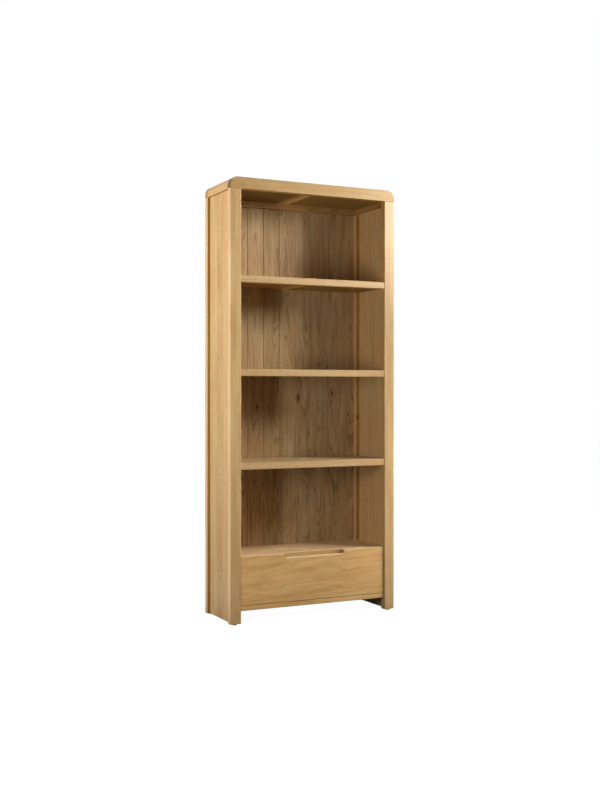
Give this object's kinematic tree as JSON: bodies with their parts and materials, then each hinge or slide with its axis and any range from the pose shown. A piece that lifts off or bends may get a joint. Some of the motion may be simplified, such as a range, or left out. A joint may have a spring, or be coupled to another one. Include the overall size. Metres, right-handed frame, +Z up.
{
  "type": "bookcase with drawer",
  "caption": "Tall oak bookcase with rounded top corners, fixed shelves, a boarded back and an inset bottom drawer on coupled telescopic runners.",
  "frame": {"origin": "on the floor, in the middle of the footprint", "axes": "+X to the right across the width, +Y from the front to the back, +Z up"},
  "size_m": [0.8, 0.3, 1.9],
  "materials": {
    "oak_post": "lacquered solid oak, vertical grain",
    "oak_rail": "lacquered solid oak, grain along the rail",
    "oak_side_panel": "lacquered oak, vertical grain",
    "oak_board": "lacquered oak, grain across the width",
    "oak_batten": "lacquered solid oak",
    "oak_back_board": "lacquered oak boards, vertical grain",
    "oak_drawer_front": "lacquered solid oak, horizontal grain",
    "drawer_box_wood": "clear lacquered light wood",
    "plywood": "clear lacquered thin plywood",
    "zinc_steel": "bright zinc plated sheet steel",
    "glide_plastic": "moulded black plastic"
  },
  "bodies": {
    "carcass": {"back_board_1": "oak_back_board", "back_board_2": "oak_back_board", "back_board_3": "oak_back_board", "back_board_4": "oak_back_board", "back_board_5": "oak_back_board", "back_board_6": "oak_back_board", "back_board_7": "oak_back_board", "back_board_8": "oak_back_board", "back_board_9": "oak_back_board", "base_back_rail": "oak_batten", "base_front_rail": "oak_rail", "deck_board": "oak_board", "deck_lipping": "oak_rail", "glides": "glide_plastic", "left_ceiling_leaf": "oak_board", "left_front_post": "oak_post", "left_lower_shelf_leaf": "oak_board", "left_middle_shelf_leaf": "oak_board", "left_rear_post": "oak_post", "left_runner_batten": "oak_batten", "left_runner_cabinet_member": "zinc_steel", "left_side_panel": "oak_side_panel", "left_top_end_rail": "oak_rail", "left_upper_shelf_leaf": "oak_board", "left_upper_side_batten": "oak_batten", "lower_shelf_lipping": "oak_rail", "middle_shelf_lipping": "oak_rail", "right_ceiling_leaf": "oak_board", "right_front_post": "oak_post", "right_lower_shelf_leaf": "oak_board", "right_middle_shelf_leaf": "oak_board", "right_rear_post": "oak_post", "right_runner_batten": "oak_batten", "right_runner_cabinet_member": "zinc_steel", "right_side_panel": "oak_side_panel", "right_top_end_rail": "oak_rail", "right_upper_shelf_leaf": "oak_board", "right_upper_side_batten": "oak_batten", "top_back_rail": "oak_rail", "top_centre_rail": "oak_batten", "top_front_rail": "oak_rail", "top_panel": "oak_board", "upper_back_batten": "oak_batten", "upper_shelf_lipping": "oak_rail"},
    "drawer": {"drawer_bottom": "plywood", "drawer_box_back": "drawer_box_wood", "drawer_box_front": "drawer_box_wood", "drawer_front": "oak_drawer_front", "left_drawer_side": "drawer_box_wood", "left_runner_drawer_member": "zinc_steel", "right_drawer_side": "drawer_box_wood", "right_runner_drawer_member": "zinc_steel"},
    "left_runner_middle": {"left_runner_middle_member": "zinc_steel"},
    "right_runner_middle": {"right_runner_middle_member": "zinc_steel"}
  },
  "joints": [
    {"name": "drawer_slide", "type": "slide", "parent": "carcass", "child": "drawer", "axis": [0, -1, 0], "range_m": [0, 0.24]},
    {"name": "left_runner_slide", "type": "slide", "parent": "carcass", "child": "left_runner_middle", "axis": [0, -1, 0], "range_m": [0, 0.12]},
    {"name": "right_runner_slide", "type": "slide", "parent": "carcass", "child": "right_runner_middle", "axis": [0, -1, 0], "range_m": [0, 0.12]}
  ],
  "couplings": [
    {"joint": "left_runner_slide", "follows": "drawer_slide", "ratio": 0.5},
    {"joint": "right_runner_slide", "follows": "drawer_slide", "ratio": 0.5}
  ]
}
